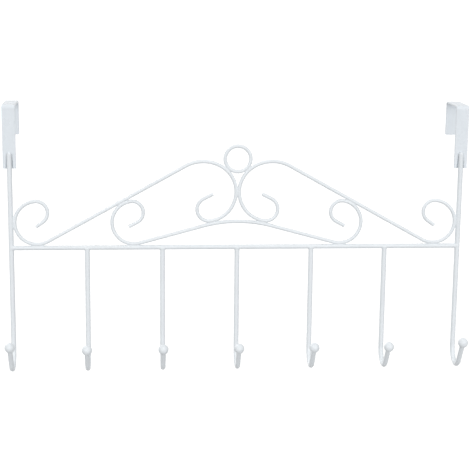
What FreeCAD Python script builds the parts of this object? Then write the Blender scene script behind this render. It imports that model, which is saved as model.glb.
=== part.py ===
import FreeCAD, Part
import math
import os

# Over door hook rack: round wires, bent and welded, hung from two folded flat straps.
# Millimetres. +X runs along the door, +Y goes through the door away from the room, +Z is up.
# The origin is on the door's top front edge, midway between the two straps.

Vector = FreeCAD.Vector

# Wire and strap stock
hook_wire_d = 4.2
bar_wire_d = 3.8
scroll_wire_d = 3.0
strap_width = 11.0
strap_thickness = 1.5
weld_sink = 0.3
cut_end_ease = 0.5

# Over door straps
door_gap = 35.0
front_leg = 52.0
back_leg = 28.0
strap_bend_inside = 1.5
strap_corner = 0.8
strap_edge_r = 0.3
seat_depth = 1.2
seat_flare = 3.6
upright_lap = 14.0

# Row of hooks
hook_count = 7
hook_pitch = 64.0
crossbar_drop = 120.0
hook_drop = 102.5
hook_bend_r = 13.0
hook_reach = 36.0
inner_tip_rise = 9.2
outer_tip_rise = 12.1
hook_wire_butt = 0.7
ball_d = 8.5
ball_flat = 0.7

# Scrollwork, all in one plane with the wires of the rack
run_angle = 29.0
curl_r = 18.5
curl_tip_r = 9.8
curl_sweep = 205.0
curl_tip_sweep = 149.0
curl_stub = 7.0
big_curl_lead_r = 30.8
big_curl_lead_sweep = 60.0
big_curl_r = 25.4
big_curl_sweep = 140.0
big_curl_tip_r = 10.2
big_curl_tip_sweep = 162.0
big_curl_stub = 9.0
arch_crown_r = 112.0
arch_curl_r = 18.5
arch_curl_sweep = 185.0
arch_curl_tip_r = 9.6
arch_curl_tip_sweep = 162.0
arch_curl_stub = 8.2
ring_r = 10.9

# Sizes that follow
hook_wire_r = hook_wire_d / 2
bar_wire_r = bar_wire_d / 2
scroll_wire_r = scroll_wire_d / 2
rack_y = seat_depth - strap_thickness - hook_wire_r
crossbar_z = -crossbar_drop
upright_x = hook_pitch * (hook_count - 1) / 2
upright_top_z = upright_lap - front_leg - hook_wire_r
hook_bend_z = crossbar_z - hook_drop + hook_bend_r


class BendPlane:
    """A flat bending table: places and headings in it are given as (across, up)."""

    def __init__(self, base, across, up):
        self.base = base
        self.across = across
        self.up = up
        self.normal = across.cross(up)

    def point(self, place):
        return self.base + self.across * place[0] + self.up * place[1]

    def direction(self, heading):
        turn = math.radians(heading)
        return self.across * math.cos(turn) + self.up * math.sin(turn)


# The rack's own plane, measured from the middle of the crossbar
RACK = BendPlane(Vector(0, rack_y, crossbar_z), Vector(1, 0, 0), Vector(0, 0, 1))


TOWARDS_ROOM = Vector(0, -1, 0)
TOWARDS_DOOR = Vector(0, 1, 0)
SAME_PLACE = 1e-4
SAME_LENGTH = 1e-6
SMOOTH_TURN = math.radians(20)


def side_plane(x, y, across):
    """An upright plane through the door at x, which measures from y towards the room or the door."""
    return BendPlane(Vector(x, y, 0), across, Vector(0, 0, 1))


def left_normal(heading):
    turn = math.radians(heading)
    return -math.sin(turn), math.cos(turn)


def moved(place, direction, distance):
    return place[0] + direction[0] * distance, place[1] + direction[1] * distance


def unit(heading):
    turn = math.radians(heading)
    return math.cos(turn), math.sin(turn)


def bend(plane, start, heading, runs):
    """The middle line of straight runs ("run", length) and bends ("turn", radius, angle).

    A positive angle turns left. Returns the line, and the place where it ends.
    """
    place = start
    edges = []
    for run in runs:
        if run[0] == "run":
            stops = [place, moved(place, unit(heading), run[1])]
            edges.append(Part.makeLine(*[plane.point(stop) for stop in stops]))
        else:
            side = math.copysign(1, run[2])
            centre = moved(place, left_normal(heading), side * run[1])
            turns = (heading, heading + run[2] / 2, heading + run[2])
            stops = [moved(centre, left_normal(turn), -side * run[1]) for turn in turns]
            edges.append(Part.Arc(*[plane.point(stop) for stop in stops]).toShape())
            heading += run[2]
        place = stops[-1]
    return Part.Wire(edges), place


def drawn_wire(plane, start, heading, runs, radius):
    """Round wire bent to the runs. Returns it, and the middle of its far end."""
    line, place = bend(plane, start, heading, runs)
    section = Part.makeCircle(radius, plane.point(start), plane.direction(heading))
    wire = line.makePipeShell([Part.Wire(section)], True, False)
    return wire, plane.point(place)


def flat_strap(plane, start, heading, runs):
    """Flat strap folded to the runs, its width along the folds."""
    line, _ = bend(plane, start, heading, runs)
    middle = plane.point(start)
    side = plane.direction(heading + 90) * (strap_thickness / 2)
    half = plane.normal * (strap_width / 2)
    corners = [middle + side + half, middle + side - half, middle - side - half, middle - side + half]
    section = Part.makePolygon(corners + corners[:1])
    return line.makePipeShell([section], True, False)


def sharp_edges(solid):
    """The edges where two faces meet at a corner, not smoothly."""
    sharp = []
    for edge in solid.Edges:
        middle = edge.valueAt((edge.FirstParameter + edge.LastParameter) / 2)
        faces = solid.ancestorsOfType(edge, Part.Face)
        normals = [face.normalAt(*face.Surface.parameter(middle)) for face in faces]
        if len(normals) == 2 and normals[0].getAngle(normals[1]) > SMOOTH_TURN:
            sharp.append(edge)
    return sharp


def eased_end(solid, point, radius):
    """Round off the cut end of a wire whose end face is centred on the point."""
    rims = [
        edge
        for edge in solid.Edges
        if isinstance(edge.Curve, Part.Circle)
        and edge.isClosed()
        and edge.Curve.Center.distanceToPoint(point) < SAME_PLACE
    ]
    return solid.makeFillet(radius, rims)


def bar_cutter(wire_r):
    """The crossbar's round surface, long enough to cut a seat in any wire that lies on it."""
    start = Vector(-upright_x, rack_y, crossbar_z)
    return Part.makeCylinder(wire_r, 2 * upright_x, start, Vector(1, 0, 0))


def upright_cutter(side):
    height = upright_top_z - hook_bend_z
    return Part.makeCylinder(hook_wire_r, height, Vector(side * upright_x, rack_y, hook_bend_z))


# Over door straps


def wire_seat(x, wall):
    """The pressed trough that an upright lies in: straight behind, flared towards its open end.

    With a wall of nothing it is the trough's inside; with the strap's thickness, its outside.
    """
    back_y = rack_y + hook_wire_r
    flared_r = hook_wire_r + seat_flare
    top = Vector(x, rack_y, upright_top_z)
    foot = Vector(x, back_y - flared_r, -front_leg)
    up = Vector(0, 0, 1)
    rims = [
        Part.Wire(Part.makeCircle(hook_wire_r + wall, top, up)),
        Part.Wire(Part.makeCircle(flared_r + wall, foot, up)),
    ]
    trough = Part.makeLoft(rims, True, True)
    return trough.fuse(Part.makeSphere(hook_wire_r + wall, top))


def door_bracket(side):
    x = side * upright_x
    mid = strap_thickness / 2
    bend_r = strap_bend_inside + mid
    runs = [
        ("run", front_leg + mid - bend_r),
        ("turn", bend_r, -90),
        ("run", door_gap + strap_thickness - 2 * bend_r),
        ("turn", bend_r, -90),
        ("run", back_leg + mid - bend_r),
    ]
    strap = flat_strap(side_plane(x, -mid, TOWARDS_DOOR), (0, -front_leg), 90, runs)
    ends = [edge for edge in strap.Edges if is_strap_corner(edge)]
    strap = strap.makeFillet(strap_corner, ends)
    strap = strap.makeFillet(strap_edge_r, sharp_edges(strap))
    room = Part.makeBox(
        strap_width,
        front_leg,
        front_leg,
        Vector(x - strap_width / 2, -strap_thickness, -front_leg),
    )
    bulge = wire_seat(x, strap_thickness).common(room)
    return strap.fuse(bulge).cut(wire_seat(x, 0)).Solids[0]


def is_strap_corner(edge):
    """The four short edges, through the thickness, at the feet of the strap's two legs."""
    short = abs(edge.Length - strap_thickness) < SAME_LENGTH
    height = edge.CenterOfMass.z
    at_foot = any(abs(height + leg) < SAME_LENGTH for leg in (front_leg, back_leg))
    return short and at_foot


# Wires with hooks


def hook_arm(tip_rise):
    """The straight arm that leaves the bend and points at the ball's middle: heading, length."""
    across = hook_reach - hook_bend_r
    spacing = math.hypot(across, tip_rise)
    heading = math.atan2(tip_rise, across) + math.asin(hook_bend_r / spacing)
    return math.degrees(heading), math.sqrt(spacing**2 - hook_bend_r**2)


def hook_runs(straight, tip_rise):
    """Down the wire, round the bend towards the room, and up the sloping arm to the ball."""
    heading, length = hook_arm(tip_rise)
    return [
        ("run", straight),
        ("turn", hook_bend_r, 90 + heading),
        ("run", length + ball_flat - ball_d / 2),
    ]


def upright(side):
    """An outer wire, from its round top end on the strap down to its hook."""
    top = (0, upright_top_z)
    plane = side_plane(side * upright_x, rack_y, TOWARDS_ROOM)
    runs = hook_runs(upright_top_z - hook_bend_z, outer_tip_rise)
    wire, _ = drawn_wire(plane, top, -90, runs, hook_wire_r)
    return wire.fuse(Part.makeSphere(hook_wire_r, plane.point(top))).Solids[0]


def hook_wire(x):
    """An inner hook wire, its top end butted up against the underside of the crossbar."""
    top = (0, crossbar_z - hook_wire_butt)
    runs = hook_runs(top[1] - hook_bend_z, inner_tip_rise)
    wire, _ = drawn_wire(side_plane(x, rack_y, TOWARDS_ROOM), top, -90, runs, hook_wire_r)
    return wire.cut(bar_cutter(bar_wire_r)).Solids[0]


def ball_tip(x, tip_rise):
    """A ball with a small flat, butt welded there to the cut end of the hook's arm."""
    heading, _ = hook_arm(tip_rise)
    plane = side_plane(x, rack_y, TOWARDS_ROOM)
    centre = plane.point((hook_reach, hook_bend_z + tip_rise))
    flat = math.degrees(math.asin(1 - 2 * ball_flat / ball_d))
    return Part.makeSphere(ball_d / 2, centre, plane.direction(heading), -flat, 90)


def crossbar():
    """The bar, butted between the uprights with its ends hollowed to fit them."""
    bar = bar_cutter(bar_wire_r)
    for side in (-1, 1):
        bar = bar.cut(upright_cutter(side))
    return bar.Solids[0]


# Scrollwork. Places here are (x, height above the crossbar's middle) for the left half.


curl_on_bar_z = bar_wire_r + scroll_wire_r - weld_sink
curl_on_upright_x = -upright_x + hook_wire_r + scroll_wire_r - weld_sink
wire_on_wire = scroll_wire_d - weld_sink
run_normal = left_normal(run_angle)

# The small curl stands on the crossbar and against the upright; the run leaves it below
small_curl = (curl_on_upright_x + curl_r, curl_on_bar_z + curl_r)
run_foot = moved(small_curl, run_normal, -curl_r)

# The run is as long as it takes the big curl to meet its mirror image on the centre line
crown_heading = run_angle - big_curl_lead_sweep
crown_normal = left_normal(crown_heading)
lead_to_big = moved(
    moved((0, 0), run_normal, -big_curl_lead_r), crown_normal, big_curl_lead_r - big_curl_r
)
big_curl_x = -wire_on_wire / 2 - big_curl_r
run_length = (big_curl_x - run_foot[0] - lead_to_big[0]) / math.cos(math.radians(run_angle))
run_head = moved(run_foot, unit(run_angle), run_length)
big_curl = (run_head[0] + lead_to_big[0], run_head[1] + lead_to_big[1])

# The arch carries both big curls on its crown
crown_gap = arch_crown_r + wire_on_wire + big_curl_r
arch_crown = (0, big_curl[1] - math.sqrt(crown_gap**2 - big_curl[0] ** 2))

# The arch's curl stands on the crossbar, tucked under the run
arch_curl_z = curl_on_bar_z + arch_curl_r
tuck = arch_curl_r + wire_on_wire
arch_curl_x = run_foot[0] + (
    tuck + (arch_curl_z - run_foot[1]) * run_normal[1]
) / -run_normal[0]
arch_curl = (arch_curl_x, arch_curl_z)

# One straight line touches the curl below and the crown above
to_crown = (arch_crown[0] - arch_curl[0], arch_crown[1] - arch_curl[1])
spacing = math.hypot(*to_crown)
arch_slope = math.degrees(
    math.atan2(to_crown[1], to_crown[0]) + math.asin((arch_crown_r + arch_curl_r) / spacing)
)
arch_straight = math.sqrt(spacing**2 - (arch_crown_r + arch_curl_r) ** 2)

# The ring lies in the valley between the two big curls
ring_gap = big_curl_r + wire_on_wire + ring_r
ring_z = big_curl[1] + math.sqrt(ring_gap**2 - big_curl[0] ** 2)


def mirrored(solid):
    return solid.mirror(Vector(0, 0, 0), Vector(1, 0, 0))


def scroll_wire(start, heading, runs):
    wire, end = drawn_wire(RACK, start, heading, runs, scroll_wire_r)
    return eased_end(wire, end, cut_end_ease)


def left_scroll():
    """The S: a small curl by the upright, a straight run, and a big curl at the middle.

    It is one wire, held as two lengths that meet face to face halfway along the straight run.
    """
    small = [
        ("run", run_length / 2),
        ("turn", curl_r, -curl_sweep),
        ("turn", curl_tip_r, -curl_tip_sweep),
        ("run", curl_stub),
    ]
    big = [
        ("run", run_length / 2),
        ("turn", big_curl_lead_r, -big_curl_lead_sweep),
        ("turn", big_curl_r, -big_curl_sweep),
        ("turn", big_curl_tip_r, -big_curl_tip_sweep),
        ("run", big_curl_stub),
    ]
    run_middle = moved(run_foot, unit(run_angle), run_length / 2)
    foot = scroll_wire(run_middle, run_angle + 180, small)
    foot = foot.cut(bar_cutter(bar_wire_r)).cut(upright_cutter(-1))
    reach = 2 * big_curl_r
    other_half = Part.makeBox(
        reach, scroll_wire_d, 2 * reach, RACK.point((0, 0)) - Vector(0, scroll_wire_r, 0)
    )
    head = scroll_wire(run_middle, run_angle, big).cut(other_half)
    return foot.Solids[0], head.Solids[0]


def left_arch(scroll):
    """Half of the arch, from its crown to its curl, seated on the bar and under the scroll."""
    runs = [
        ("turn", arch_crown_r, arch_slope),
        ("run", arch_straight),
        ("turn", arch_curl_r, -arch_curl_sweep),
        ("turn", arch_curl_tip_r, -arch_curl_tip_sweep),
        ("run", arch_curl_stub),
    ]
    half = scroll_wire((0, arch_crown[1] + arch_crown_r), 180, runs)
    for neighbour in (bar_cutter(bar_wire_r), *scroll):
        half = half.cut(neighbour)
    return half.Solids[0]


def top_ring(big_curls):
    ring = Part.makeTorus(ring_r, scroll_wire_r, RACK.point((0, ring_z)), RACK.normal)
    for neighbour in big_curls:
        ring = ring.cut(neighbour)
    return ring.Solids[0]


def build_nodes():
    nodes = {"crossbar": crossbar()}
    for name, side in (("left", -1), ("right", 1)):
        nodes[name + "_door_bracket"] = door_bracket(side)
        nodes[name + "_upright"] = upright(side)
    for index in range(hook_count):
        x = hook_pitch * index - upright_x
        outer = index in (0, hook_count - 1)
        if not outer:
            nodes["hook_wire_%d" % index] = hook_wire(x)
        rise = outer_tip_rise if outer else inner_tip_rise
        nodes["ball_tip_%d" % (index + 1)] = ball_tip(x, rise)
    foot, head = left_scroll()
    left_half = {
        "scroll_foot": foot,
        "scroll_head": head,
        "arch_half": left_arch((foot, head)),
    }
    for name, solid in left_half.items():
        nodes["left_" + name] = solid
        nodes["right_" + name] = mirrored(solid)
    nodes["top_ring"] = top_ring((head, mirrored(head)))
    return nodes


os.makedirs("parts", exist_ok=True)
for name, solid in build_nodes().items():
    solid.exportStep("parts/%s.step" % name)
    print("%-20s volume %9.2f mm3, valid %s" % (name, solid.Volume, solid.isValid()))
print("arch slope %.2f, crown %.2f above the bar" % (arch_slope, arch_crown[1] + arch_crown_r))
print("ring %.2f and big curl %.2f above the bar" % (ring_z, big_curl[1]))
print("arch curl's left side at %.2f, run %.2f long" % (arch_curl[0] - arch_curl_r, run_length))
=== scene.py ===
# %% [markdown]
# # Dressing a white wire rack for its picture
# The rack is already drawn as solids: two folded straps, wires bent into hooks, scrolls, an
# arch, a ring and seven balls. A drawing has no finish, though. This lesson gives the rack the
# camera and soft light of a studio, a powder coat that looks sprayed and baked, and the small
# fillets of weld that hold one wire to the next.

import math

import bpy
import numpy as np
from mathutils import Matrix, Vector


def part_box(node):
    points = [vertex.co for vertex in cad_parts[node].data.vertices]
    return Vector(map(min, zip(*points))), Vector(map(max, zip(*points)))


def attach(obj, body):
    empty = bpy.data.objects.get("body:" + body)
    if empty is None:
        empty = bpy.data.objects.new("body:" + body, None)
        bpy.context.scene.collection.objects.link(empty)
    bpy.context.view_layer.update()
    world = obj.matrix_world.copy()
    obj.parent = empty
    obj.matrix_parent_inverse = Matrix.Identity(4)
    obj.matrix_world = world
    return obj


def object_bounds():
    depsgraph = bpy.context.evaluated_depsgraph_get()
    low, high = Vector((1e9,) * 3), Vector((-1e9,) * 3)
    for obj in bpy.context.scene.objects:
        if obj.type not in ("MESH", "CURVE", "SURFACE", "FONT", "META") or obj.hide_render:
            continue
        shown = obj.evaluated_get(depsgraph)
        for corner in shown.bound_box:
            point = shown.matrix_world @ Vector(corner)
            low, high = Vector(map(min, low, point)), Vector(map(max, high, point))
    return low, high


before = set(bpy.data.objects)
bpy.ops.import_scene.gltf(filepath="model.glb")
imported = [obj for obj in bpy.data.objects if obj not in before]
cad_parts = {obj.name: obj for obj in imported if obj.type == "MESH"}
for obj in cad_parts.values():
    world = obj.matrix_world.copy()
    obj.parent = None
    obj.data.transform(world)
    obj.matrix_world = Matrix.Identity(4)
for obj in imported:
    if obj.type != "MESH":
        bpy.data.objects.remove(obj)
drawn_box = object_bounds()
print("pieces drawn:", len(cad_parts), "box:", [tuple(round(v, 4) for v in c) for c in drawn_box])

# %% [markdown]
# ## The photographer's place
# The rack was photographed with a long lens, from just left of the middle and a little above
# the top of the door, looking slightly down. From there the flat tops of the straps show, and
# each ball sits in front of its own wire. The angles below are in the order a tripod head
# turns: pan, then tilt, then roll.

# %% Camera
PICTURE_SIDE = 470
SENSOR = 36.0
LENS_IN_PIXELS = 1300

pan, tilt, roll = (math.radians(angle) for angle in (-4.422, 11.887, 0.620))
place = Vector((-0.0860, -1.0902, 0.120))

lens = bpy.data.cameras.new("studio_camera")
lens.sensor_width = SENSOR
lens.lens = LENS_IN_PIXELS / PICTURE_SIDE * SENSOR
camera = bpy.data.objects.new("studio_camera", lens)
bpy.context.scene.collection.objects.link(camera)
camera.matrix_world = (
    Matrix.Translation(place)
    @ Matrix.Rotation(pan, 4, "Z")
    @ Matrix.Rotation(math.radians(90) - tilt, 4, "X")
    @ Matrix.Rotation(roll, 4, "Z")
)
bpy.context.scene.camera = camera
print("lens", round(lens.lens, 1), "mm, camera at", tuple(round(v, 3) for v in place))

# %% [markdown]
# ## A white studio
# A catalogue picture of a white thing on white works only if the thing is a little darker than
# its ground. So the ground shows as white to the camera, and to anything that mirrors it,
# while the light that it sends to the rack is weaker. Light Path tells the two apart. The floor
# is far enough below for its soft shadow to fade.

# %% Colours seen and colours lit
FLOOR_DROP = 0.30
FLOOR_SIDE = 60.0
FLOOR_GREY = 0.40
FLOOR_GLOW = 0.71
SKY_LIGHT = 0.58


def node(tree, kind, inputs=None, **settings):
    """A shader node with its settings, and with values or links for its inputs."""
    made = tree.nodes.new(kind)
    for name, value in settings.items():
        setattr(made, name, value)
    for name, value in (inputs or {}).items():
        if isinstance(value, bpy.types.NodeSocket):
            tree.links.new(value, made.inputs[name])
        else:
            made.inputs[name].default_value = value
    return made


def seen_directly(tree):
    """1 on rays from the camera, a mirror or a glass, 0 on rays that only carry light."""
    path = node(tree, "ShaderNodeLightPath")
    either = node(tree, "ShaderNodeMath", operation="MAXIMUM", inputs={
        0: path.outputs["Is Camera Ray"],
        1: path.outputs["Is Glossy Ray"],
    })
    return node(tree, "ShaderNodeMath", operation="MAXIMUM", inputs={
        0: either.outputs[0],
        1: path.outputs["Is Transmission Ray"],
    }).outputs[0]


# %% The white surround
world = bpy.data.worlds.new("studio")
world.use_nodes = True
bpy.context.scene.world = world
tree = world.node_tree
tree.nodes.clear()
soft = node(tree, "ShaderNodeBackground", {"Color": (1, 1, 1, 1), "Strength": SKY_LIGHT})
white = node(tree, "ShaderNodeBackground", {"Color": (1, 1, 1, 1), "Strength": 1.0})
both = node(tree, "ShaderNodeMixShader", {
    0: seen_directly(tree),
    1: soft.outputs[0],
    2: white.outputs[0],
})
node(tree, "ShaderNodeOutputWorld", {"Surface": both.outputs[0]})
print("sky light", SKY_LIGHT, "and 1.0 where it is seen")

# %% The floor
floor_mesh = bpy.data.meshes.new("floor")
half = FLOOR_SIDE / 2
floor_z = drawn_box[0].z - FLOOR_DROP
corners = [(x * half, y * half, floor_z) for x, y in ((-1, -1), (1, -1), (1, 1), (-1, 1))]
floor_mesh.from_pydata(corners, [], [(0, 1, 2, 3)])
floor = bpy.data.objects.new("floor", floor_mesh)
bpy.context.scene.collection.objects.link(floor)

paper = bpy.data.materials.new("floor_paper")
paper.use_nodes = True
tree = paper.node_tree
tree.nodes.clear()
matt = node(tree, "ShaderNodeBsdfPrincipled", {
    "Base Color": (FLOOR_GREY, FLOOR_GREY, FLOOR_GREY, 1),
    "Roughness": 0.9,
    "Specular IOR Level": 0.1,
})
glow = node(tree, "ShaderNodeEmission", {"Color": (1, 1, 1, 1), "Strength": FLOOR_GLOW})
lifted = node(tree, "ShaderNodeAddShader", {0: matt.outputs[0], 1: glow.outputs[0]})
shown = node(tree, "ShaderNodeMixShader", {
    0: seen_directly(tree),
    1: matt.outputs[0],
    2: lifted.outputs[0],
})
node(tree, "ShaderNodeOutputMaterial", {"Surface": shown.outputs[0]})
floor_mesh.materials.append(paper)
print("floor", FLOOR_DROP, "m below the hooks")

# %% [markdown]
# ## Four soft lamps
# The back legs of the straps are as bright as the fronts, so light comes past the front legs
# from the left and from the right. The sides of a wire are darker than its middle, which such
# a pair of lamps near the camera gives as well. The tops of the balls and of the bar are
# brightest, so a third lamp hangs overhead. The fourth lights the back. It stands off to one
# side, or else the straps' flat tops would mirror it to the camera. They are sun lamps with a
# wide disc: their shadows are soft, and they light the far floor as evenly as the near floor.

# %% Lamps
def soft_lamp(name, height, side, strength, spread):
    """A sun lamp. Its height, its side and the width of its disc are in degrees."""
    data = bpy.data.lights.new(name, "SUN")
    data.energy = strength
    data.angle = math.radians(spread)
    lamp = bpy.data.objects.new(name, data)
    lamp.rotation_euler = (math.radians(90 - height), 0, math.radians(side))
    bpy.context.scene.collection.objects.link(lamp)
    print(name, height, "degrees up, strength", strength)


soft_lamp("lamp_left", height=12, side=-28, strength=0.95, spread=24)
soft_lamp("lamp_right", height=12, side=28, strength=0.90, spread=24)
soft_lamp("lamp_overhead", height=80, side=-6, strength=0.54, spread=30)
soft_lamp("lamp_behind_rack", height=30, side=-145, strength=0.90, spread=24)
bpy.context.scene.view_settings.view_transform = "Standard"

# %% [markdown]
# ## Effects that every coated piece shares
# Powder coat is dust that melts into a skin. Seen close, the skin is never flat: it ripples
# like orange peel, it is a shade greyer where a sharp edge pulled it thin, and it turns a
# little glossier where it has been rubbed. Each effect is a node group with its own dials, so
# that the wires, straps, balls and welds can use it at their own strength.

# %% A helper that makes a group
def new_group(name, inputs, outputs):
    """An empty shader group with named sockets. Returns it with its input and output nodes."""
    group = bpy.data.node_groups.new(name, "ShaderNodeTree")
    for label, kind, value in inputs:
        socket = group.interface.new_socket(name=label, in_out="INPUT", socket_type=kind)
        if value is not None:
            socket.default_value = value
    for label, kind in outputs:
        group.interface.new_socket(name=label, in_out="OUTPUT", socket_type=kind)
    return group, group.nodes.new("NodeGroupInput"), group.nodes.new("NodeGroupOutput")


def math_of(tree, operation, first, second):
    return node(tree, "ShaderNodeMath", {0: first, 1: second}, operation=operation).outputs[0]


# %% Orange peel
def make_orange_peel():
    """Height of the baked skin: slow ripples, a finer ripple on them, and rare pinholes."""
    group, given, result = new_group(
        "orange_peel",
        [
            ("Place", "NodeSocketVector", None),
            ("Ripples per metre", "NodeSocketFloat", 600.0),
            ("Fine share", "NodeSocketFloat", 0.3),
            ("Pinholes", "NodeSocketFloat", 0.4),
        ],
        [("Height", "NodeSocketFloat")],
    )
    slow = node(group, "ShaderNodeTexNoise", {
        "Vector": given.outputs["Place"],
        "Scale": given.outputs["Ripples per metre"],
        "Detail": 1.0,
        "Roughness": 0.4,
    })
    finer_scale = math_of(group, "MULTIPLY", given.outputs["Ripples per metre"], 3.7)
    fine = node(group, "ShaderNodeTexNoise", {
        "Vector": given.outputs["Place"],
        "Scale": finer_scale,
        "Detail": 2.0,
    })
    skin = node(group, "ShaderNodeMix", {
        "Factor": given.outputs["Fine share"],
        "A": slow.outputs[0],
        "B": fine.outputs[0],
    })
    holes = node(group, "ShaderNodeTexVoronoi", {
        "Vector": given.outputs["Place"],
        "Scale": math_of(group, "MULTIPLY", given.outputs["Ripples per metre"], 0.8),
    }, feature="F1")
    pit = node(group, "ShaderNodeMapRange", {
        "Value": holes.outputs["Distance"],
        "From Min": 0.0,
        "From Max": 0.09,
        "To Min": 1.0,
        "To Max": 0.0,
    }, interpolation_type="SMOOTHSTEP")
    depth = math_of(group, "MULTIPLY", pit.outputs[0], given.outputs["Pinholes"])
    height = math_of(group, "SUBTRACT", skin.outputs[0], depth)
    group.links.new(height, result.inputs["Height"])
    return group


orange_peel = make_orange_peel()
print("group", orange_peel.name, "nodes", len(orange_peel.nodes))


# %% Tone of the coat
# A main white, and the white of its cloudy patches.
WIRE_WHITES = ((0.735, 0.77, 0.798, 1), (0.715, 0.75, 0.778, 1))
STRAP_WHITES = ((0.698, 0.739, 0.778, 1), (0.679, 0.72, 0.759, 1))


def make_coat_tone():
    """The coat's colour and gloss: cloudy patches, and greyer where the skin is thin."""
    group, given, result = new_group(
        "coat_tone",
        [
            ("Place", "NodeSocketVector", None),
            ("White", "NodeSocketColor", WIRE_WHITES[0]),
            ("Cloud", "NodeSocketColor", WIRE_WHITES[1]),
            ("Thin", "NodeSocketColor", (0.58, 0.61, 0.64, 1)),
            ("Thinness", "NodeSocketFloat", 0.0),
            ("Clouds per metre", "NodeSocketFloat", 45.0),
            ("Gloss low", "NodeSocketFloat", 0.34),
            ("Gloss high", "NodeSocketFloat", 0.44),
        ],
        [("Color", "NodeSocketColor"), ("Roughness", "NodeSocketFloat")],
    )
    patches = node(group, "ShaderNodeTexNoise", {
        "Vector": given.outputs["Place"],
        "Scale": given.outputs["Clouds per metre"],
        "Detail": 3.0,
        "Roughness": 0.55,
    })
    cloud = node(group, "ShaderNodeMapRange", {
        "Value": patches.outputs[0],
        "From Min": 0.38,
        "From Max": 0.68,
    }, interpolation_type="SMOOTHSTEP")
    body = node(group, "ShaderNodeMix", {
        0: cloud.outputs[0],
        6: given.outputs["White"],
        7: given.outputs["Cloud"],
    }, data_type="RGBA")
    grain = node(group, "ShaderNodeTexNoise", {
        "Vector": given.outputs["Place"],
        "Scale": 900.0,
        "Detail": 3.0,
    })
    broken = node(group, "ShaderNodeMapRange", {
        "Value": grain.outputs[0],
        "From Min": 0.35,
        "From Max": 0.65,
        "To Min": 0.35,
        "To Max": 1.0,
    })
    thin = math_of(group, "MULTIPLY", given.outputs["Thinness"], broken.outputs[0])
    tone = node(group, "ShaderNodeMix", {
        0: thin,
        6: body.outputs[2],
        7: given.outputs["Thin"],
    }, data_type="RGBA")
    gloss = node(group, "ShaderNodeMapRange", {
        "Value": patches.outputs[0],
        "From Min": 0.30,
        "From Max": 0.70,
        "To Min": given.outputs["Gloss low"],
        "To Max": given.outputs["Gloss high"],
    })
    group.links.new(tone.outputs[2], result.inputs["Color"])
    group.links.new(gloss.outputs[0], result.inputs["Roughness"])
    return group


coat_tone = make_coat_tone()
print("group", coat_tone.name, "nodes", len(coat_tone.nodes))


# %% Rubbed places
def make_rubbed():
    """A mask around one height of the rack, broken up as rubbing does: 1 where it is rubbed."""
    group, given, result = new_group(
        "rubbed",
        [
            ("Place", "NodeSocketVector", None),
            ("Height", "NodeSocketFloat", 0.0),
            ("Reach", "NodeSocketFloat", 0.008),
        ],
        [("Mask", "NodeSocketFloat")],
    )
    parts = node(group, "ShaderNodeSeparateXYZ", {0: given.outputs["Place"]})
    off = math_of(group, "SUBTRACT", parts.outputs["Z"], given.outputs["Height"])
    away = node(group, "ShaderNodeMath", {0: off}, operation="ABSOLUTE").outputs[0]
    near = node(group, "ShaderNodeMapRange", {
        "Value": away,
        "From Min": 0.0,
        "From Max": given.outputs["Reach"],
        "To Min": 1.0,
        "To Max": 0.0,
    }, interpolation_type="SMOOTHSTEP")
    streaks = node(group, "ShaderNodeTexNoise", {
        "Vector": given.outputs["Place"],
        "Scale": 380.0,
        "Detail": 4.0,
        "Roughness": 0.6,
    })
    patchy = node(group, "ShaderNodeMapRange", {
        "Value": streaks.outputs[0],
        "From Min": 0.42,
        "From Max": 0.60,
    }, interpolation_type="SMOOTHSTEP")
    mask = math_of(group, "MULTIPLY", near.outputs[0], patchy.outputs[0])
    group.links.new(mask, result.inputs["Mask"])
    return group


rubbed = make_rubbed()
print("group", rubbed.name, "nodes", len(rubbed.nodes))

# %% [markdown]
# ## Four coats from the same powder
# One powder covers the rack, but it settles differently. On thin round wire the ripples are
# short, on the flat straps they are long, on the balls the skin is smoothest, and on the welds
# it follows the lumps below. The straps also have sharp cut sides, where the powder is thin.

# %% A coat with its own dials
def coat(name, ripples, relief, fine=0.3, clouds=45.0, gloss=(0.34, 0.44), whites=WIRE_WHITES,
         thinness=None, rub=None):
    """A white powder coat. relief is the height of its ripples in metres."""
    made = bpy.data.materials.new(name)
    made.use_nodes = True
    tree = made.node_tree
    tree.nodes.clear()
    place = node(tree, "ShaderNodeTexCoord").outputs["Object"]
    tone = node(tree, "ShaderNodeGroup", node_tree=coat_tone)
    peel = node(tree, "ShaderNodeGroup", node_tree=orange_peel)
    for group in (tone, peel):
        tree.links.new(place, group.inputs["Place"])
    tone.inputs["White"].default_value, tone.inputs["Cloud"].default_value = whites
    tone.inputs["Clouds per metre"].default_value = clouds
    tone.inputs["Gloss low"].default_value = gloss[0]
    tone.inputs["Gloss high"].default_value = gloss[1]
    if thinness:
        tree.links.new(thinness(tree, place), tone.inputs["Thinness"])
    peel.inputs["Ripples per metre"].default_value = ripples
    peel.inputs["Fine share"].default_value = fine
    bump = node(tree, "ShaderNodeBump", {
        "Height": peel.outputs["Height"],
        "Distance": relief,
        "Strength": 1.0,
    })
    roughness = tone.outputs["Roughness"]
    if rub:
        wear = node(tree, "ShaderNodeGroup", {
            "Place": place, "Height": rub[0], "Reach": rub[1],
        }, node_tree=rubbed)
        polish = math_of(tree, "MULTIPLY", wear.outputs["Mask"], rub[2])
        roughness = math_of(tree, "SUBTRACT", roughness, polish)
    skin = node(tree, "ShaderNodeBsdfPrincipled", {
        "Base Color": tone.outputs["Color"],
        "Roughness": roughness,
        "Normal": bump.outputs["Normal"],
        "IOR": 1.45,
    })
    node(tree, "ShaderNodeOutputMaterial", {"Surface": skin.outputs[0]})
    return made


# %% Thin powder on the straps' cut sides
strap_low, strap_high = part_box("right_door_bracket")
strap_middle = (strap_low.x + strap_high.x) / 2
strap_half_width = (strap_high.x - strap_low.x) / 2


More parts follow.
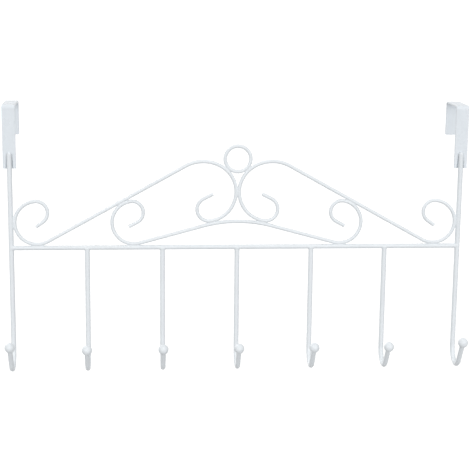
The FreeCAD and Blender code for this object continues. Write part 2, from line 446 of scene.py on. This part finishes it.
def near_strap_sides(tree, place):
    """1 along the long edges of both straps, fading within half a millimetre."""
    parts = node(tree, "ShaderNodeSeparateXYZ", {0: place})
    side = node(tree, "ShaderNodeMath", {0: parts.outputs["X"]}, operation="ABSOLUTE").outputs[0]
    off = math_of(tree, "SUBTRACT", side, strap_middle)
    away = node(tree, "ShaderNodeMath", {0: off}, operation="ABSOLUTE").outputs[0]
    return node(tree, "ShaderNodeMapRange", {
        "Value": away,
        "From Min": strap_half_width - 0.0007,
        "From Max": strap_half_width,
        "To Min": 0.0,
        "To Max": 0.45,
    }, interpolation_type="SMOOTHSTEP").outputs[0]


print("straps at", round(strap_middle, 4), "half width", round(strap_half_width, 4))

# %% Mix the coats
wire_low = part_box("left_upright")[0]
hook_belly = wire_low.z + 0.0042

wire_coat = coat("coated_wire", 620, 120e-6, rub=(hook_belly, 0.006, 0.10))
strap_coat = coat("coated_strap", 420, 130e-6, fine=0.22, clouds=60, gloss=(0.24, 0.34),
                  whites=STRAP_WHITES, thinness=near_strap_sides)
ball_coat = coat("coated_ball", 520, 110e-6, fine=0.15, gloss=(0.36, 0.44))
weld_coat = coat("coated_weld", 800, 110e-6, fine=0.4, gloss=(0.34, 0.48))

for name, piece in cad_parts.items():
    piece.data.materials.clear()
    if "bracket" in name:
        piece.data.materials.append(strap_coat)
    elif "ball" in name:
        piece.data.materials.append(ball_coat)
    else:
        piece.data.materials.append(wire_coat)
print("coated", len(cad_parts), "pieces")

# %% [markdown]
# ## Fillets of weld
# Wires that only touch look like wires laid side by side. On the real rack each joint is
# welded, so metal fills the sharp valley between them and the coat runs over it. A good way to
# draw such a fillet is to measure how far every point of a small grid lies from each wire, to
# blend the two distances, and to put a skin where the blend is nothing. The blend adds metal
# only in the valley. The skin is drawn a hair below the wires, so that it shows only where it
# adds metal, and its border is a clean line.

# %% The sizes of the wires and bends, in millimetres
MM = 0.001
bar_low, bar_high = [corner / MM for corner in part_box("crossbar")]
rack_y = (bar_low.y + bar_high.y) / 2
bar_z = (bar_low.z + bar_high.z) / 2
BAR_R, HOOK_R, SCROLL_R = 1.9, 2.1, 1.5
UPRIGHT_X = 192.0
HOOK_XS = (-128.0, -64.0, 0.0, 64.0, 128.0)
HOOK_TOP = bar_z - 0.7
RUN_ANGLE = math.radians(29)
SMALL_CURL, SMALL_CURL_R = (-170.2, 21.6), 18.5
BIG_CURL, BIG_CURL_R = (-26.75, 47.84), 25.4
BIG_TIP_TURN, BIG_TIP_R = math.radians(-81), 10.2
ARCH_CURL, ARCH_CURL_R = (-88.31, 21.6), 18.5
CROWN, CROWN_R = (0.0, -89.69), 112.0
RING, RING_R = (0.0, 76.22), 10.9
print("rack plane y", round(rack_y, 3), "bar z", round(bar_z, 3))


# %% Distances to straight wires, bent wires and balls
def in_rack(spot):
    """A point of the rack's plane, given as (x, height above the bar)."""
    return np.array((spot[0], rack_y, bar_z + spot[1]))


def straight(through, along, radius):
    along = np.array(along, float) / np.linalg.norm(along)
    return lambda p: np.linalg.norm(np.cross(p - through, along), axis=-1) - radius


def bent(centre, bend_radius, radius):
    """A wire bent in the rack's plane round the centre."""
    middle = in_rack(centre)

    def distance(p):
        off = p - middle
        from_bend = np.hypot(off[..., 0], off[..., 2]) - bend_radius
        return np.hypot(from_bend, off[..., 1]) - radius

    return distance


def tightening(centre, bend_radius, turn, tip_radius, radius, side):
    """A bent wire whose bend is tighter past one angle, which is seen from the centre."""
    ray = (-side * math.cos(turn), math.sin(turn))
    tip_centre = [centre[i] + ray[i] * (bend_radius - tip_radius) for i in (0, 1)]
    wide, tight = bent(centre, bend_radius, radius), bent(tip_centre, tip_radius, radius)
    middle = in_rack(centre)

    def distance(p):
        off = p - middle
        past = side * (ray[0] * off[..., 2] - ray[1] * off[..., 0]) > 0
        return np.where(past, tight(p), wide(p))

    return distance


def ball(centre, radius):
    return lambda p: np.linalg.norm(p - centre, axis=-1) - radius


def ended(wire, top):
    """The wire, cut off flat above a height."""
    return lambda p: np.maximum(wire(p), p[..., 2] - top)


# %% The fillet as a field
# How deep a weld reaches into a wire, and how far below the wire's own its skin lies.
BURY = 0.4
SINK = 0.035


def uneven(p):
    """Waves about a millimetre and a half long, as melted metal leaves them."""
    x, y, z = p[..., 0], p[..., 1], p[..., 2]
    return np.sin(4.1 * x + 1.3 * z) * np.sin(3.7 * z - 1.1 * y) + 0.6 * np.sin(7.3 * y + 5.2 * x)


def fillet_field(first, second, blend, lumps):
    """Below nothing inside the weld: blended wires, without what lies deep in either wire."""

    def field(p):
        a, b = first(p), second(p)
        share = np.clip(1 - np.abs(a - b) / blend, 0, 1)
        filled = np.minimum(a, b) - share**2 * (blend / 4 + lumps * uneven(p)) + SINK
        edge = np.abs(a - b) - 0.92 * blend
        return np.maximum.reduce([filled, -a - BURY, -b - BURY, edge])

    return field


# %% A skin over the field
def skin_over(field, centre, reach, step):
    """Corners and four sided faces of the surface where the field is nothing."""
    counts = [int(math.ceil(2 * r / step)) + 1 for r in reach]
    start = np.array(centre) - np.array(reach)
    axes = [start[i] + step * np.arange(counts[i]) for i in range(3)]
    value = field(np.stack(np.meshgrid(*axes, indexing="ij"), axis=-1))
    inside = value < 0
    cells = tuple(n - 1 for n in counts)
    total = np.zeros(cells + (3,))
    hits = np.zeros(cells)
    for axis in range(3):
        low = [slice(None)] * 3
        high = [slice(None)] * 3
        low[axis], high[axis] = slice(0, -1), slice(1, None)
        low, high = tuple(low), tuple(high)
        crossed = inside[low] != inside[high]
        share = np.where(crossed, value[low] / (value[low] - value[high] + 1e-12), 0)
        others = [i for i in range(3) if i != axis]
        for u in (0, 1):
            for v in (0, 1):
                pick = [slice(None)] * 3
                pick[others[0]] = slice(u, u + cells[others[0]])
                pick[others[1]] = slice(v, v + cells[others[1]])
                hit = crossed[tuple(pick)]
                spot = np.zeros(cells + (3,))
                spot[..., axis] = share[tuple(pick)]
                spot[..., others[0]] = u
                spot[..., others[1]] = v
                total += spot * hit[..., None]
                hits += hit
    used = hits > 0
    number = np.full(cells, -1)
    number[used] = np.arange(used.sum())
    base = np.stack(np.nonzero(used), axis=-1)
    corners = start + step * (base + total[used] / hits[used][:, None])
    return corners, quads_of(inside, number)


def quads_of(inside, number):
    """One face for each grid line that passes through the surface, joining its four cells."""
    faces = []
    for axis in range(3):
        u, v = [(axis + 1) % 3, (axis + 2) % 3]
        low = [slice(1, -1)] * 3
        high = [slice(1, -1)] * 3
        low[axis], high[axis] = slice(0, -1), slice(1, None)
        before, after = inside[tuple(low)], inside[tuple(high)]
        at = np.stack(np.nonzero(before != after), axis=-1)
        leaving = before[tuple(at.T)]
        cell = at + 1
        cell[:, axis] -= 1
        ring = []
        for du, dv in ((-1, -1), (0, -1), (0, 0), (-1, 0)):
            spot = cell.copy()
            spot[:, u] += du
            spot[:, v] += dv
            ring.append(number[tuple(spot.T)])
        ring = np.stack(ring, axis=-1)
        faces.append(np.where(leaving[:, None], ring, ring[:, ::-1]))
    return np.concatenate(faces)


# %% Build one weld
def settle(corners, field, steps=3, probe=0.01):
    """Move each corner on to the surface, along the field's own slope."""
    for _ in range(steps):
        here = field(corners)
        slope = np.stack([
            (field(corners + probe * axis) - field(corners - probe * axis)) / (2 * probe)
            for axis in np.eye(3)
        ], axis=-1)
        corners = corners - slope * (here / np.maximum((slope**2).sum(-1), 0.25))[:, None]
    return corners


def weld(name, first, second, centre, reach, blend, lumps=0.03, step=0.22):
    """A fillet between two wires, as a piece of its own that rides with the rack."""
    field = fillet_field(first, second, blend, lumps)
    corners, faces = skin_over(field, centre, reach, step)
    corners = settle(corners, field)
    mesh = bpy.data.meshes.new(name)
    mesh.from_pydata((corners * MM).tolist(), [], faces.tolist())
    mesh.validate()
    mesh.polygons.foreach_set("use_smooth", [True] * len(mesh.polygons))
    mesh.set_sharp_from_angle(angle=math.radians(50))
    mesh.materials.append(weld_coat)
    piece = bpy.data.objects.new(name, mesh)
    bpy.context.scene.collection.objects.link(piece)
    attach(piece, "root")
    return len(faces)


# %% [markdown]
# ## Where the wires meet
# The crossbar is welded to both uprights, and the five hook wires to the crossbar. The scrolls
# stand on the bar and lean on the uprights, the arch stands on the bar and under both scrolls,
# the two big curls touch each other, and the ring lies in the valley between them.

# %% The straight wires
bar = straight(in_rack((0, 0)), (1, 0, 0), BAR_R)
faces = 0
for side, word in ((-1, "left"), (1, "right")):
    upright = straight(in_rack((side * UPRIGHT_X, 0)), (0, 0, 1), HOOK_R)
    spot = in_rack((side * (UPRIGHT_X - HOOK_R - 1.0), 0))
    faces += weld("weld_bar_to_%s_upright" % word, bar, upright, spot, (4, 5, 5), 1.3)
for index, x in enumerate(HOOK_XS, start=1):
    wire = ended(straight(in_rack((x, 0)), (0, 0, 1), HOOK_R), HOOK_TOP)
    faces += weld("weld_hook_wire_%d" % index, bar, wire, in_rack((x, -1.4)), (5, 5, 4), 1.3)
print("welds on the straight wires:", 2 + len(HOOK_XS), "faces", faces)


# %% Spots in the scrollwork
def towards(start, end, distance):
    """The spot that far from the start, on the way to the end."""
    way = Vector((end[0] - start[0], end[1] - start[1])).normalized()
    return start[0] + way.x * distance, start[1] + way.y * distance


def square_to_run(spot, distance):
    """The spot that far from the given one, at right angles to the scroll's straight run."""
    return spot[0] - math.sin(RUN_ANGLE) * distance, spot[1] + math.cos(RUN_ANGLE) * distance


def flipped(spot, side):
    """The same spot on the left half, side -1, or on the right half, side 1."""
    return spot[0] * -side, spot[1]


run_foot = square_to_run(SMALL_CURL, -SMALL_CURL_R)
under_run = square_to_run(ARCH_CURL, ARCH_CURL_R + SCROLL_R)
print("the run starts at", [round(v, 2) for v in run_foot], "and meets the arch at",
      [round(v, 2) for v in under_run])


# %% The joints of one half
def joints_of(side):
    """Name, the two wires, the spot on the left half and the reach of each joint."""
    small = bent(flipped(SMALL_CURL, side), SMALL_CURL_R, SCROLL_R)
    big = tightening(flipped(BIG_CURL, side), BIG_CURL_R, BIG_TIP_TURN, BIG_TIP_R, SCROLL_R, side)
    arch_curl = bent(flipped(ARCH_CURL, side), ARCH_CURL_R, SCROLL_R)
    crown = bent(CROWN, CROWN_R, SCROLL_R)
    ring = bent(RING, RING_R, SCROLL_R)
    upright = straight(in_rack((side * UPRIGHT_X, 0)), (0, 0, 1), HOOK_R)
    way = (-side * math.cos(RUN_ANGLE), 0, math.sin(RUN_ANGLE))
    run = straight(in_rack(flipped(run_foot, side)), way, SCROLL_R)
    on_upright = (HOOK_R - UPRIGHT_X, SMALL_CURL[1])
    on_crown = towards(CROWN, BIG_CURL, CROWN_R + SCROLL_R)
    on_ring = towards(BIG_CURL, RING, BIG_CURL_R + SCROLL_R)
    return (
        ("small_curl_to_bar", small, bar, (SMALL_CURL[0], BAR_R), (9, 3.5, 3.5)),
        ("small_curl_to_upright", small, upright, on_upright, (3.5, 3.5, 9)),
        ("arch_curl_to_bar", arch_curl, bar, (ARCH_CURL[0], BAR_R), (9, 3.5, 3.5)),
        ("arch_curl_to_run", arch_curl, run, under_run, (8.5, 3.5, 7)),
        ("big_curl_to_arch", big, crown, on_crown, (9, 3.5, 4.5)),
        ("ring_to_big_curl", ring, big, on_ring, (6.5, 3.5, 6.5)),
    )


# %% Weld the scrollwork
faces = 0
for side, word in ((-1, "left"), (1, "right")):
    for label, first, second, spot, reach in joints_of(side):
        at = in_rack(flipped(spot, side))
        faces += weld("weld_%s_%s" % (word, label), first, second, at, reach, 1.0)
big_curls = [bent(flipped(BIG_CURL, side), BIG_CURL_R, SCROLL_R) for side in (-1, 1)]
faces += weld("weld_big_curls", *big_curls, in_rack((0, BIG_CURL[1])), (3.5, 3.5, 9), 1.0)
print("welds in the scrollwork: 13, faces", faces)

# %% [markdown]
# ## Necks of the balls
# Each ball is welded to the cut end of a hook's sloping arm. The coat gathers in the sharp
# corner behind the ball, which makes a small neck there. The arm leaves the bend as a straight
# line that points at the ball's middle, so its slope follows from the bend and the ball.

# %% Ball necks
BEND_R = 13.0
bend_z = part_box("hook_wire_1")[0].z / MM + HOOK_R + BEND_R
faces = 0
for number in range(1, 8):
    low, high = [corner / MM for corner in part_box("ball_tip_%d" % number)]
    radius = (high.x - low.x) / 2
    centre = np.array(((low.x + high.x) / 2, low.y + radius, high.z - radius))
    across = rack_y - BEND_R - centre[1]
    rise = centre[2] - bend_z
    slope = math.atan2(rise, across) + math.asin(BEND_R / math.hypot(across, rise))
    arm = np.array((0, -math.cos(slope), math.sin(slope)))
    wire = ended(straight(centre, arm, HOOK_R), centre[2])
    foot = centre - arm * (radius - 0.5)
    faces += weld("neck_of_ball_%d" % number, ball(centre, radius), wire, foot, (4, 4, 4), 0.9,
                  lumps=0.0)
print("ball necks: 7, faces", faces)
